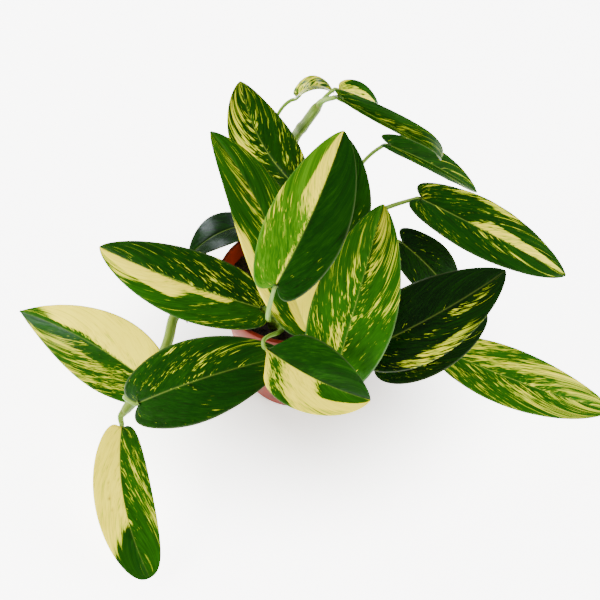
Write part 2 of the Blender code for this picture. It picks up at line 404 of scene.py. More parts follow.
@dataclass(frozen=True)
class LeafSkin(Finish):
    """Living leaf, grown: a waxed skin over green and uncoloured tissue.

    The wax gives the eye a soft, wide highlight.  Where the tissue has no green the leaf is
    cream, in streaks that run out along its side veins.  Each layer of streaks is a width
    across the veins, a length along them and a share: flecks, streaks and broad drifts.
    """

    side: Side = Side.UPPER
    layers_mm: tuple[tuple[float, float, float], ...] = (
        (1.7, 2.8, 0.42),
        (6.5, 8.0, 0.33),
        (30.0, 18.0, 0.25),
    )
    contrast: float = 3.0
    green_contrast: float = 1.0
    gloss: float = 0.3
    cream_seed: float = 7.0
    green_seed: float = 31.0
    greens: tuple[tuple[float, str], ...] = (
        (0.0, "#051902"),
        (0.28, "#0D3401"),
        (0.55, "#1F5402"),
        (0.90, "#5A8E10"),
    )
    creams: tuple[tuple[float, str], ...] = (
        (0.30, "#567F0C"),
        (0.42, "#AFBC22"),
        (0.56, "#EAD822"),
        (0.76, "#FFEE30"),
    )
    cream_depth: float = 0.7
    cream_edge: tuple[float, float] = (0.43, 0.57)
    rib: tuple[float, str] = (0.25, "#9DB84E")
    margin: tuple[float, str] = (0.06, "#B9C780")
    spot: str = "#7A5A2C"
    underside: tuple[float, str] = (0.42, "#4C6430")
    fine_ribs_mm: tuple[float, float] = (0.7, 12.0)
    fine_rib_depth_mm: float = 0.35
    fine_rib_strength: float = 0.35

    def streaks(
        self, tree: bpy.types.NodeTree, place: bpy.types.NodeSocket, seed: float
    ) -> bpy.types.NodeSocket:
        """Noise drawn out along the side veins.

        Args:
            tree: The material's tree.
            place: Millimetres across and along the side veins.
            seed: Moves the noise to another part of its field.

        Returns:
            The noise, with a mean near one half.
        """
        total: bpy.types.NodeSocket | float = 0.0
        for across, along, share in self.layers_mm:
            scaled = node(
                tree,
                "ShaderNodeMapping",
                Vector=place,
                Scale=(1 / across, 1 / along, 1.0),
                Location=(seed, seed, seed),
            )
            noise = node(
                tree,
                "ShaderNodeTexNoise",
                Vector=scaled.outputs[0],
                Scale=1.0,
                Detail=2.0,
                Distortion=0.4,
            )
            total = maths(tree, "MULTIPLY_ADD", noise.outputs[0], share, total)
        return total

    def build(self) -> bpy.types.Material:
        """Make the material.

        Returns:
            The leaf's material on this side.
        """
        material, tree, shader = self.shader()
        veins = node(tree, "ShaderNodeAttribute", {"attribute_name": "veins"}).outputs["Vector"]
        tone = node(tree, "ShaderNodeAttribute", {"attribute_name": "tone"}).outputs["Vector"]
        edge = node(tree, "ShaderNodeAttribute", {"attribute_name": "edge"}).outputs["Vector"]
        cream_wish, light_wish, on_rib = node(tree, "ShaderNodeSeparateXYZ", Vector=tone).outputs
        at_margin, spots, _ = node(tree, "ShaderNodeSeparateXYZ", Vector=edge).outputs

        def pushed(
            wish: bpy.types.NodeSocket, seed: float, contrast: float
        ) -> bpy.types.NodeSocket:
            """Break a wish for a colour up by the streaks.

            Args:
                wish: The wish, from 0 to 1.
                seed: Picks the streaks.
                contrast: How strongly they show.

            Returns:
                The wish with the streaks added.
            """
            spread = maths(tree, "SUBTRACT", self.streaks(tree, veins, seed), 0.5)
            return maths(tree, "MULTIPLY_ADD", spread, contrast, wish)

        green = ramp(tree, pushed(light_wish, self.green_seed, self.green_contrast), self.greens)
        creamy = pushed(cream_wish, self.cream_seed, self.contrast)
        pale = ramp(tree, maths(tree, "MULTIPLY", creamy, self.cream_depth), self.creams)
        crisp = node(tree, "ShaderNodeMapRange", {"interpolation_type": "SMOOTHSTEP"}, Value=creamy)
        crisp.inputs["From Min"].default_value = self.cream_edge[0]
        crisp.inputs["From Max"].default_value = self.cream_edge[1]
        colour = mixed(tree, crisp.outputs[0], green, pale)
        for where, (share, tint) in ((on_rib, self.rib), (at_margin, self.margin)):
            colour = mixed(tree, maths(tree, "MULTIPLY", where, share), colour, tint)
        colour = mixed(tree, spots, colour, self.spot)
        if self.side is Side.LOWER:
            share, tint = self.underside
            colour = mixed(tree, share, colour, tint)
        tree.links.new(colour, shader.inputs["Base Color"])
        shader.inputs["Specular IOR Level"].default_value = self.gloss
        width, length = self.fine_ribs_mm
        fine = node(tree, "ShaderNodeMapping", Vector=veins, Scale=(1 / width, 1 / length, 1.0))
        ribbing = node(tree, "ShaderNodeTexNoise", Vector=fine.outputs[0], Scale=1.0, Detail=2.0)
        self.bump(
            tree, shader, ribbing.outputs[0], self.fine_rib_depth_mm, self.fine_rib_strength
        )
        return material


@dataclass(frozen=True)
class StemSkin(Finish):
    """Green stem, grown: a smooth skin with pale lines along it, a satin gloss and a painted
    highlight along its upper side.
    """

    dark: str = "#34500E"
    middle: str = "#56721E"
    pale: str = "#8A9C44"
    cork: str = "#6B5230"
    line_mm: float = 1.3
    line_length_mm: float = 22.0
    line_depth_mm: float = 0.25
    line_strength: float = 0.3
    # Painted highlight: this much of the pale colour is laid along the stem's upper side and in the
    # petiole's channel.
    top_highlight_paleness: float = 0.5

    def build(self) -> bpy.types.Material:
        """Make the material.

        Returns:
            The stem's material.
        """
        material, tree, shader = self.shader()
        grown = node(tree, "ShaderNodeAttribute", {"attribute_name": "grown"}).outputs["Vector"]
        bark = node(tree, "ShaderNodeAttribute", {"attribute_name": "bark"}).outputs["Vector"]
        # The second channel marks the upper side, where a highlight is painted.
        brown, groove, _ = node(tree, "ShaderNodeSeparateXYZ", Vector=bark).outputs
        scaled = node(
            tree,
            "ShaderNodeMapping",
            Vector=grown,
            Scale=(1 / self.line_length_mm, 1 / self.line_mm, 1.0),
        )
        lines = node(tree, "ShaderNodeTexNoise", Vector=scaled.outputs[0], Scale=1.0, Detail=3.0)
        colour = ramp(
            tree,
            lines.outputs[0],
            ((0.30, self.dark), (0.48, self.middle), (0.60, self.middle), (0.72, self.pale)),
        )
        # Painted highlight: the upper side, which the bark attribute marks, is mixed towards the
        # pale colour.
        painted_top_highlight = maths(tree, "MULTIPLY", groove, self.top_highlight_paleness)
        colour = mixed(tree, painted_top_highlight, colour, self.pale)
        colour = mixed(tree, brown, colour, self.cork)
        tree.links.new(colour, shader.inputs["Base Color"])
        self.bump(tree, shader, lines.outputs[0], self.line_depth_mm, self.line_strength)
        return material


@dataclass(frozen=True)
class MouldedPlastic(Finish):
    """Polypropylene, injection moulded: an even brick red with a dull, dusty satin surface."""

    colour: str = "#6E1E0C"
    dusty: str = "#7E301C"
    deep: str = "#521608"
    cloud_mm: float = 14.0
    cloud_gloss: float = 0.25
    grain_mm: float = 0.8
    grain_depth_mm: float = 0.06
    grain_strength: float = 0.25

    def build(self) -> bpy.types.Material:
        """Make the material.

        Returns:
            The pot's material.
        """
        material, tree, shader = self.shader()
        place = node(tree, "ShaderNodeTexCoord").outputs["Object"]
        cloud = node(
            tree, "ShaderNodeTexNoise", Vector=place, Scale=1 / (self.cloud_mm * MM), Detail=4.0
        )
        grain = node(
            tree, "ShaderNodeTexNoise", Vector=place, Scale=1 / (self.grain_mm * MM), Detail=2.0
        )
        colour = ramp(
            tree,
            cloud.outputs[0],
            ((0.32, self.deep), (0.5, self.colour), (0.60, self.colour), (0.78, self.dusty)),
        )
        tree.links.new(colour, shader.inputs["Base Color"])
        smoothest = self.roughness - 0.12
        rough = maths(tree, "MULTIPLY_ADD", cloud.outputs[0], self.cloud_gloss, smoothest)
        tree.links.new(rough, shader.inputs["Roughness"])
        self.bump(tree, shader, grain.outputs[0], self.grain_depth_mm, self.grain_strength)
        return material


@dataclass(frozen=True)
class PottingMix(Finish):
    """Peat and bark, loose and moist: near black, with brown flecks and no gloss."""

    dark: str = "#120C07"
    brown: str = "#33231A"
    pale: str = "#5A4433"
    crumb_mm: float = 2.2
    crumb_depth_mm: float = 0.8
    crumb_strength: float = 0.6

    def build(self) -> bpy.types.Material:
        """Make the material.

        Returns:
            The soil's material.
        """
        material, tree, shader = self.shader()
        place = node(tree, "ShaderNodeTexCoord").outputs["Object"]
        crumbs = node(
            tree, "ShaderNodeTexNoise", Vector=place, Scale=1 / (self.crumb_mm * MM), Detail=5.0
        )
        colour = ramp(
            tree, crumbs.outputs[0], ((0.35, self.dark), (0.62, self.brown), (0.80, self.pale))
        )
        tree.links.new(colour, shader.inputs["Base Color"])
        self.bump(tree, shader, crumbs.outputs[0], self.crumb_depth_mm, self.crumb_strength)
        return material


@dataclass(frozen=True)
class GlowingFloor(Finish):
    """White acrylic with a painted glow: a pale surface that leaves only faint shadows.

    The glow is painted light, though the floor is no lamp: a pool that fades far from the plant,
    and a painted shadow that dims it close round the pot's foot.
    """

    colour: str = "#F6F5F4"
    glow: float = 7.0
    lit_radius: float = 0.45
    dark_radius: float = 0.85
    lit_centre: tuple[float, float, float] = (0.0, 0.13, 0.0)
    # Painted shadow: the glow drops to this share at the pot's foot and is back to full at the last
    # radius.
    painted_shadow_share: float = 0.14
    pot_foot: float = 0.045
    painted_shadow_radius: float = 0.20

    def build(self) -> bpy.types.Material:
        """Make the material.

        Returns:
            The floor's material.
        """
        material, tree, shader = self.shader()
        shader.inputs["Base Color"].default_value = linear(self.colour)
        shader.inputs["Emission Color"].default_value = linear(self.colour)
        place = node(tree, "ShaderNodeTexCoord").outputs["Object"]
        # Painted pool of light: the floor glows fully near the plant and fades to nothing further
        # out.
        radius = node(
            tree, "ShaderNodeVectorMath", {"operation": "DISTANCE"}, i0=place, i1=self.lit_centre
        )
        fade = node(
            tree,
            "ShaderNodeMapRange",
            {"interpolation_type": "SMOOTHSTEP"},
            Value=radius.outputs["Value"],
            From_Min=self.lit_radius,
            From_Max=self.dark_radius,
            To_Min=self.glow,
            To_Max=0.0,
        )
        # Painted shadow: the glow is dimmed close round the pot's foot.
        from_pot = node(tree, "ShaderNodeVectorMath", {"operation": "LENGTH"}, i0=place)
        painted_pot_shadow = node(
            tree,
            "ShaderNodeMapRange",
            {"interpolation_type": "SMOOTHSTEP"},
            Value=from_pot.outputs["Value"],
            From_Min=self.pot_foot,
            From_Max=self.painted_shadow_radius,
            To_Min=self.painted_shadow_share,
            To_Max=1.0,
        )
        strength = maths(tree, "MULTIPLY", fade.outputs[0], painted_pot_shadow.outputs[0])
        tree.links.new(strength, shader.inputs["Emission Strength"])
        return material


# Curves and sweeps


def smooth_through(points: np.ndarray, per_span: int) -> np.ndarray:
    """Follow a Catmull-Rom curve through the inner points of a list.

    Args:
        points: Control points, with one more at each end than the curve passes.
        per_span: Steps between two control points.

    Returns:
        Points along the curve.
    """
    path = []
    for before, start, end, after in zip(points, points[1:], points[2:], points[3:]):
        t = (np.arange(per_span) / per_span)[:, None]
        path.append(
            0.5
            * (
                2 * start
                + (end - before) * t
                + (2 * before - 5 * start + 4 * end - after) * t**2
                + (3 * start - before - 3 * end + after) * t**3
            )
        )
    return np.concatenate(path + [points[-2:-1]])


def bezier(corners: Sequence[np.ndarray], count: int) -> np.ndarray:
    """Follow one cubic Bezier curve.

    Args:
        corners: Its four control points.
        count: How many points to give.

    Returns:
        Points along the curve.
    """
    t = np.linspace(0, 1, count)[:, None]
    u = 1 - t
    weights = (u**3, 3 * u * u * t, 3 * u * t * t, t**3)
    return sum(weight * corner for weight, corner in zip(weights, corners))


def lengths_along(path: np.ndarray) -> np.ndarray:
    """Measure a path.

    Args:
        path: Its points.

    Returns:
        The distance along it of each point from its start.
    """
    return np.concatenate(([0.0], np.cumsum(np.linalg.norm(np.diff(path, axis=0), axis=1))))


def evenly(path: np.ndarray, spacing: float) -> np.ndarray:
    """Resample a path to even steps.

    Args:
        path: Points of the path.
        spacing: The step wanted, in metres.

    Returns:
        Evenly spaced points with the same two ends.
    """
    along = lengths_along(path)
    count = max(4, round(along[-1] / spacing) + 1)
    places = np.linspace(0, along[-1], count)
    return np.stack([np.interp(places, along, path[:, k]) for k in range(3)], axis=1)


def carried_sides(directions: np.ndarray, first: np.ndarray) -> np.ndarray:
    """Carry a side vector along a path without twisting it.

    Args:
        directions: Unit directions along the path.
        first: The side wanted at the first point.

    Returns:
        A unit side vector square to each direction.
    """
    sides = []
    side = first
    for direction in directions:
        side = side - direction * side.dot(direction)
        side = side / np.linalg.norm(side)
        sides.append(side)
    return np.array(sides)


@dataclass
class Sweep:
    """A closed skin around a path."""

    path: np.ndarray
    radii: np.ndarray
    top_end: np.ndarray
    around: int = 16
    groove: float = 0.0
    groove_width: float = 0.55
    seed: float = 0.0

    def rings(self) -> tuple[np.ndarray, np.ndarray]:
        """Lay the rings of points.

        Returns:
            The points, ring by ring, and how deep in the groove each lies, from 0 to 1.
        """
        directions = unit(np.gradient(self.path, axis=0))
        tops = carried_sides(directions[::-1], self.top_end)[::-1]
        rights = np.cross(directions, tops)
        angles = np.arange(self.around) / self.around * FULL_TURN
        from_top = np.abs((angles + math.pi) % FULL_TURN - math.pi)
        dip = np.exp(-((from_top / self.groove_width) ** 2))
        reach = self.radii[:, None] * (1 - self.groove * dip)[None, :]
        points = (
            self.path[:, None, :]
            + tops[:, None, :] * (reach * np.cos(angles))[:, :, None]
            + rights[:, None, :] * (reach * np.sin(angles))[:, :, None]
        )
        return points.reshape(-1, 3), np.tile(dip, len(self.path))

    def piece(self, name: str, brown: Callable[[np.ndarray], np.ndarray]) -> bpy.types.Object:
        """Build the skin.

        Args:
            name: The piece's name.
            brown: Gives how corky the skin is at each distance along the path.

        Returns:
            The piece.
        """
        points, dip = self.rings()
        along = np.repeat(lengths_along(self.path), self.around)
        angles = np.tile(np.arange(self.around) / self.around, len(self.path))
        round_mm = np.abs(angles - 0.5) * FULL_TURN * float(self.radii.max()) / MM
        grown = np.stack((along / MM, round_mm, np.full(len(points), self.seed)), axis=1)
        # The bark attribute holds the corky scars and the upper-side mask that the stem skin paints
        # a highlight with.
        bark = np.stack((brown(along), dip, np.zeros(len(points))), axis=1)
        faces = []
        for ring in range(len(self.path) - 1):
            for k in range(self.around):
                here, beside = ring * self.around + k, ring * self.around + (k + 1) % self.around
                faces.append((here, beside, beside + self.around, here + self.around))
        last = (len(self.path) - 1) * self.around
        faces.append(tuple(range(self.around))[::-1])
        faces.append(tuple(range(last, last + self.around)))
        made = closed_piece(name, points, faces, {"grown": grown, "bark": bark})
        faces_outward(made)
        return made


# The plant's plan: the same stems and blades as the frame's, in millimetres


@dataclass(frozen=True)
class Patch:
    """A part of a blade with its own share of cream, in shares of its length and half width."""

    t: tuple[float, float]
    s: tuple[float, float]
    cream: float
    soft: float = 0.14


@dataclass(frozen=True)
class Pattern:
    """How a blade is coloured: wishes for cream and light green on its left and right halves."""

    cream: tuple[float, float] = (0.20, 0.20)
    light: tuple[float, float] = (0.35, 0.35)
    patches: tuple[Patch, ...] = ()
    spots: tuple[tuple[float, float, float], ...] = ()


@dataclass(frozen=True)
class VinePlan:
    """A main stem: its foot in the soil, then the points that it passes."""

    name: str
    foot: tuple[float, float]
    route: tuple[tuple[float, float, float], ...]
    roots: tuple[tuple[float, float, float, float], ...] = ()


@dataclass(frozen=True)
class LeafPlan:
    """A blade and its petiole, with the sizes that the frame's solids have."""

    name: str
    base: tuple[float, float, float]
    tip: tuple[float, float, float]
    facing: tuple[float, float, float]
    width: float
    vine: str
    share: float
    pattern: Pattern
    arch: float = 8.0
    sway: float = 0.0
    bow_at: float = 0.5
    fold: float = 12.0
    taper: float = 0.72
    lobe: float = 12.0
    hook: float = 0.0
    leaves_by: tuple[float, ...] = ()
    arrives_by: tuple[float, ...] = ()


VINES = (
    VinePlan(
        "vine_left",
        (-34, -6),
        (
            (-36, -8, 106),
            (-48, -15, 115),
            (-62, -22, 117),
            (-79, -27, 113),
            (-96, -31, 105),
            (-102, -50, 93),
            (-114, -72, 77),
            (-130, -85, 62),
            (-137, -91, 56),
        ),
        roots=((0.50, 0.3, -0.6, -0.8),),
    ),
    VinePlan(
        "vine_top",
        (4, 26),
        ((3, 28, 112), (-4, 46, 138), (-8, 66, 164), (-3, 79, 188), (8, 78, 211), (17, 78, 228)),
        roots=((0.62, 0.9, -0.3, -0.3),),
    ),
    VinePlan("vine_centre", (-1, -16), ((0, -22, 113),)),
    VinePlan("vine_front", (-19, -36), ((-20, -42, 112),)),
    VinePlan(
        "vine_right",
        (30, -6),
        ((32, -7, 110), (46, -12, 122), (68, -18, 120), (92, -28, 104), (110, -38, 86)),
        roots=((0.72, 0.2, -0.6, -0.8),),
    ),
    VinePlan("vine_back", (26, 22), ((29, 26, 110), (37, 36, 121), (45, 44, 126))),
)

LEAVES = (
    LeafPlan(
        "left_far",
        (-116, -60, 50),
        (-233, 19, 49),
        (0.1, -0.5, 0.9),
        64,
        "vine_left",
        0.84,
        Pattern(
            cream=(0.26, 0.62),
            light=(0.42, 0.40),
            patches=(
                Patch((0.0, 0.72), (0.05, 1.1), 0.75),
                Patch((0.05, 0.60), (-1.1, -0.35), 0.22),
                Patch((0.60, 0.85), (-1.1, -0.75), 0.30),
                Patch((0.74, 1.2), (-1.1, 1.1), -0.30),
                Patch((0.40, 1.0), (0.0, 0.16), -0.90, 0.20),
            ),
        ),
        arch=6,
        sway=5,
        taper=0.95,
    ),
    LeafPlan(
        "left_front",
        (-123, -92, 71),
        (-6, -75, 109),
        (0, -0.6, 0.8),
        66,
        "vine_left",
        0.94,
        Pattern(
            cream=(0.24, 0.14),
            light=(0.24, 0.20),
            patches=(
                Patch((0.15, 0.85), (-0.85, -0.25), 0.05),
                Patch((0.3, 0.8), (0.45, 0.9), 0.06),
            ),
        ),
        sway=-3,
        leaves_by=(-0.6, 0.2, 0.8),
        arrives_by=(0.9, -0.1, 0.1),
    ),
    LeafPlan(
        "left_upper",
        (-29, -38, 122),
        (-157, 15, 134),
        (-0.1, -0.6, 0.8),
        56,
        "vine_left",
        0.18,
        Pattern(
            cream=(0.22, 0.29),
            light=(0.40, 0.20),
            patches=(
                Patch((0.40, 1.02), (-0.50, -0.02), 0.85, 0.10),
                Patch((0.14, 0.45), (-0.18, -0.02), 0.55, 0.10),
                Patch((0.62, 0.98), (-0.90, -0.40), 0.45),
                Patch((0.10, 0.50), (-0.95, -0.45), 0.08),
            ),
        ),
        sway=-3,
        leaves_by=(0.5, -1, 0.9),
        arrives_by=(-0.3, -0.1, 0.95),
    ),
    LeafPlan(
        "left_hanging",
        (-138, -103, 52),
        (-112, -210, 6),
        (0.1, -0.3, 0.9),
        46,
        "vine_left",
        1.0,
        Pattern(
            cream=(0.29, 0.98),
            light=(0.42, 0.30),
            patches=(
                Patch((0.66, 1.2), (0.0, 1.1), -0.95, 0.16),
                Patch((0.0, 0.6), (-1.0, -0.5), 0.08),
                Patch((0.74, 1.2), (-1.1, 0.0), -0.14),
            ),
            spots=((0.36, 0.45, 0.7), (0.40, 0.50, 0.6), (0.46, 0.48, 1.0), (0.53, 0.46, 0.8)),
        ),
        sway=9,
        taper=0.42,
        lobe=5,
    ),
    LeafPlan(
        "front_folded",
        (-22, -85, 129),
        (56, -111, 100),
        (0, -0.6, 0.8),
        60,
        "vine_front",
        0.82,
        Pattern(
            cream=(0.0, 1.05),
            light=(0.26, 0.46),
            patches=(
                Patch((0.0, 0.20), (0.0, 1.1), -0.62, 0.20),
                Patch((0.10, 0.70), (0.78, 1.1), -0.34, 0.16),
                Patch((0.52, 0.98), (0.0, 0.45), -0.98, 0.20),
            ),
        ),
        arch=3,
        sway=4,
        fold=24,
        taper=0.72,
        lobe=-5,
        leaves_by=(0.1, -0.9, 1),
        arrives_by=(0.3, -0.9, 0),
    ),
    LeafPlan(
        "centre_front",
        (-15, -57, 172),
        (35, 26, 250),
        (0, -0.7, 0.7),
        62,
        "vine_front",
        1.0,
        Pattern(
            cream=(0.24, 0.04),
            light=(0.66, 0.20),
            patches=(
                Patch((0.44, 1.1), (-0.46, 0.0), 0.55, 0.16),
                Patch((0.0, 0.44), (-0.10, 0.0), 0.30, 0.10),
                Patch((0.0, 0.40), (-1.1, -0.70), 0.14),
            ),
        ),
        sway=3,
        leaves_by=(-0.4, -0.9, 0.8),
    ),
    LeafPlan(
        "centre_tall",
        (8, -56, 115),
        (-65, 41, 235),
        (0, -0.7, 0.7),
        52,
        "vine_centre",
        1.0,
        Pattern(
            cream=(0.24, 0.18),
            light=(0.44, 0.36),
            patches=(
                Patch((0.45, 0.85), (-0.40, 0.02), 0.14),
                Patch((0.0, 0.42), (-1.1, -0.72), 0.75, 0.16),
                Patch((-0.1, 0.30), (-0.3, 1.1), 1.0, 0.16),
            ),
        ),
        sway=9,
        bow_at=0.6,
        lobe=3,
    ),
    LeafPlan(
        "front_marbled",
        (29, -89, 100),
        (65, -6, 205),
        (0, -0.7, 0.7),
        67,
        "vine_right",
        0.24,
        Pattern(
            cream=(0.30, 0.36),
            light=(0.48, 0.46),
            patches=(
                Patch((0.10, 0.66), (-0.42, -0.10), 0.24),
                Patch((0.55, 0.95), (0.1, 0.9), 0.10),
                Patch((-0.1, 0.30), (0.1, 1.1), -0.18),
            ),
        ),
        leaves_by=(-0.3, -0.8, 1.4),
        arrives_by=(0, -0.7, -0.7),
    ),
    LeafPlan(
        "back_flecked",
        (-3, 48, 172),
        (-44, 94, 238),
        (0, -0.7, 0.7),
        50,
        "vine_top",
        0.4,
        Pattern(
            cream=(0.34, 0.28),
            light=(0.26, 0.22),
            patches=(Patch((0.30, 0.95), (-0.75, -0.05), 0.09),),
        ),
        sway=-7,
    ),
    LeafPlan(
        "back_dark",
        (36, 16, 140),
        (38, 62, 210),
        (0, -0.7, 0.7),
        44,
        "vine_back",
        0.55,
        Pattern(cream=(0.08, 0.08), light=(0.20, 0.20)),
    ),
    LeafPlan(
        "back_left",
        (-36, 53, 119),
        (-88, 27, 109),
        (-0.4, 0, 0.9),
        44,
        "vine_top",
        0.28,
        Pattern(cream=(0.02, 0.02), light=(0.06, 0.06)),
        lobe=5,
        leaves_by=(-1, 0.3, 0.6),
        arrives_by=(-0.8, -0.5, -0.2),
    ),
    LeafPlan(
        "top_left",
        (0, 114, 206),
        (30, 116, 206),
        (0, 0.3, 0.9),
        28,
        "vine_top",
        0.6,
        Pattern(cream=(0.50, 0.44), light=(0.40, 0.40)),
        fold=15,
        lobe=4,
        leaves_by=(-0.6, 0.8, 0.6),
        arrives_by=(0.9, -0.1, 0.3),
    ),
    LeafPlan(
        "top_middle",
        (34, 100, 224),
        (66, 102, 193),
        (0.4, -0.3, 0.9),
        28,
        "vine_top",
        0.84,
        Pattern(
            cream=(0.70, 0.70),
            light=(0.30, 0.30),
            patches=(Patch((0.0, 1.2), (-1.1, -0.6), -0.6), Patch((0.0, 1.2), (0.6, 1.1), -0.6)),
        ),
        arch=5,
        fold=15,
        lobe=3,
    ),
    LeafPlan(
        "top_arched",
        (34, 69, 243),
        (125, 57, 192),
        (0.2, -0.35, 0.9),
        24,
        "vine_top",
        1.0,
        Pattern(cream=(0.27, 0.27), light=(0.34, 0.34)),
        arch=-2,
        fold=50,
        taper=0.5,
        hook=14,
    ),
    LeafPlan(
        "right_back",
        (75, 89, 174),
        (150, 89, 120),
        (0.4, -0.15, 0.9),
        30,
        "vine_top",
        0.33,
        Pattern(cream=(0.18, 0.18), light=(0.30, 0.30)),
        arch=4,
        fold=30,
        leaves_by=(1, 0.5, 0.2),
        arrives_by=(0.8, 0, 0.5),
    ),
    LeafPlan(
        "right_upper",
        (101, 54, 148),
        (221, 24, 89),
        (0.25, -0.35, 0.9),
        52,
        "vine_back",
        1.0,
        Pattern(
            cream=(0.28, 0.23),
            light=(0.26, 0.26),
            patches=(
                Patch((0.36, 0.96), (-0.36, -0.01), 0.60, 0.16),
                Patch((0.02, 0.45), (-0.98, -0.80), 0.35, 0.10),
                Patch((0.30, 0.70), (0.30, 0.80), 0.08),
            ),
        ),
        sway=3,
        arrives_by=(0.9, 0, 0.35),
    ),
    LeafPlan(
        "right_dark",
        (51, -67, 105),
        (161, -24, 150),
        (0, -0.5, 0.8),
        62,
        "vine_right",
        0.38,
        Pattern(
            cream=(0.05, 0.12),
            light=(0.02, 0.06),
            patches=(
                Patch((0.52, 0.90), (0.10, 0.40), 0.40, 0.14),
                Patch((0.05, 0.55), (0.70, 1.1), 0.26, 0.16),
                Patch((0.0, 0.45), (0.25, 0.90), 0.14),
            ),
        ),
        sway=4,
        lobe=6,
        leaves_by=(-0.4, -1, 0.6),
        arrives_by=(0.6, -0.7, -0.5),
    ),
    LeafPlan(
        "right_inner",
        (86, 33, 118),
        (132, 8, 72),
        (0.3, -0.5, 0.8),
        44,
        "vine_back",
        0.78,
        Pattern(
            cream=(0.10, 0.12), light=(0.06, 0.06), patches=(Patch((0.7, 1.1), (-1.1, 1.1), 0.2),)
        ),
        leaves_by=(1, 0, 1),
    ),
    LeafPlan(
        "right_far",
        (121, -46, 76),
        (255, -70, 30),
        (0.2, -0.4, 0.9),
        50,
        "vine_right",
        1.0,
        Pattern(cream=(0.42, 0.38), light=(0.44, 0.42)),
        arch=5,
        sway=5,
    ),
    LeafPlan(
        "right_under",
        (60, -70, 89),
        (152, -26, 97),
        (0, -0.5, 0.9),
        55,
        "vine_right",
        0.46,
        Pattern(cream=(0.20, 0.20), light=(0.04, 0.04)),
        lobe=3,
        leaves_by=(-0.2, -1, 0.5),
        arrives_by=(0.3, -0.45, -0.85),
    ),
)


# The plant's builders


def at(point: Sequence[float]) -> np.ndarray:
    """A planned point in metres."""
    return np.array(point, float) * MM


@dataclass
class Vine:
    """A main stem, thicker at its joints, with short roots in the air."""

    plan: VinePlan
    socket_floor: float
    collar_height: float
    seed: float
    radius: float = 4.2 * MM
    swelling: float = 0.14
    swelling_length: float = 3.5 * MM
    tip_length: float = 5.0 * MM
    tip_share: float = 0.62
    step: float = 1.4 * MM
    points_per_span: int = 4
    root_radius: float = 1.1 * MM
    root_length: float = 9.0 * MM
    scar_from: float = 3.6 * MM
    scar_to: float = 2.6 * MM
    scar_edge: float = 1.0 * MM
    scar_brown: float = 0.75

    def __post_init__(self) -> None:
        """Lay the centre line."""
        x, y = (value * MM for value in self.plan.foot)
        foot = np.array((x, y, self.socket_floor))
        collar = np.array((x, y, self.collar_height))
        route = [collar] + [at(point) for point in self.plan.route]
        beyond = 2 * route[-1] - route[-2]
        rough = smooth_through(np.array([foot] + route + [beyond]), self.points_per_span)
        self.line = np.concatenate(([foot], rough))
        self.fine = evenly(self.line, self.step)

    def place(self, share: float) -> tuple[np.ndarray, np.ndarray]:
        """Find a point of the centre line.

        Args:
            share: How far along the line, from 0 to 1.

        Returns:
            The point and the line's direction there.
        """
        along = lengths_along(self.line)
        where = share * along[-1]
        span = min(int(np.searchsorted(along, where, "right")) - 1, len(self.line) - 2)
        start, end = self.line[span], self.line[span + 1]
        left = (where - along[span]) / (along[span + 1] - along[span])
        return start + (end - start) * left, unit(end - start)

    def radii(self, joints: Sequence[float]) -> np.ndarray:
        """The stem's radius at each point of its fine line.

        Args:
            joints: Where petioles leave it, as shares of its length.

        Returns:
            The radii.
        """
        along = lengths_along(self.fine)
        radii = np.full(len(along), self.radius)
        for joint in joints:
            off = (along - joint * along[-1]) / self.swelling_length
            radii += self.radius * self.swelling * np.exp(-off * off)
        to_end = np.clip((along[-1] - along) / self.tip_length, 0, 1)
        return radii * (self.tip_share + (1 - self.tip_share) * np.sqrt(to_end))

    def build(self, joints: Sequence[float], skin: bpy.types.Material) -> None:
        """Build the stem and its roots.

        Args:
            joints: Where petioles leave it, as shares of its length.
            skin: The stem's material.
        """
        length = lengths_along(self.fine)[-1]

        def corky(along: np.ndarray) -> np.ndarray:
            """Brown scars just below each joint.

            Args:
                along: Distances along the stem.

            Returns:
                How brown the skin is there, from 0 to 1.
            """
            if not joints:
                return np.zeros(len(along))
            scars = [
                window(
                    along,
                    joint * length - self.scar_from,
                    joint * length - self.scar_to,
                    self.scar_edge,
                )
                for joint in joints
            ]
            return self.scar_brown * np.max(scars, axis=0)

        sweep = Sweep(self.fine, self.radii(joints), np.array((0.2, 0.1, 1.0)), 20, seed=self.seed)
        stem = sweep.piece(f"stem_{self.plan.name}", corky)
        stem.data.materials.append(skin)
        hand_over(stem, Slot.VINE, self.plan.name)
        for number, (share, *way) in enumerate(self.plan.roots, 1):
            self.air_root(number, share, unit(np.array(way, float)), skin)

    def air_root(
        self, number: int, share: float, way: np.ndarray, skin: bpy.types.Material
    ) -> None:
        """Build one short brown root.

        Args:
            number: Its number on this stem.
            share: Where it leaves the stem.
            way: The direction it grows in.
            skin: The stem's material.
        """
        start, _ = self.place(share)
        bend = way + np.array((0.3, 0.0, -0.4))
        path = bezier(
            (
                start,
                start + way * self.root_length * 0.5,
                start + way * self.root_length * 0.8,
                start + way * self.root_length * 0.9 + bend * self.root_length * 0.3,
            ),
            14,
        )
        radii = self.root_radius * np.sqrt(np.linspace(1, 0.08, len(path)))
        sweep = Sweep(path, radii, np.array((0.1, 1.0, 0.2)), 10, seed=self.seed + number)
        root = sweep.piece(f"air_root_{self.plan.name}_{number}", lambda along: along * 0 + 1.0)
        root.data.materials.append(skin)
        hand_over(root, Slot.VINE)


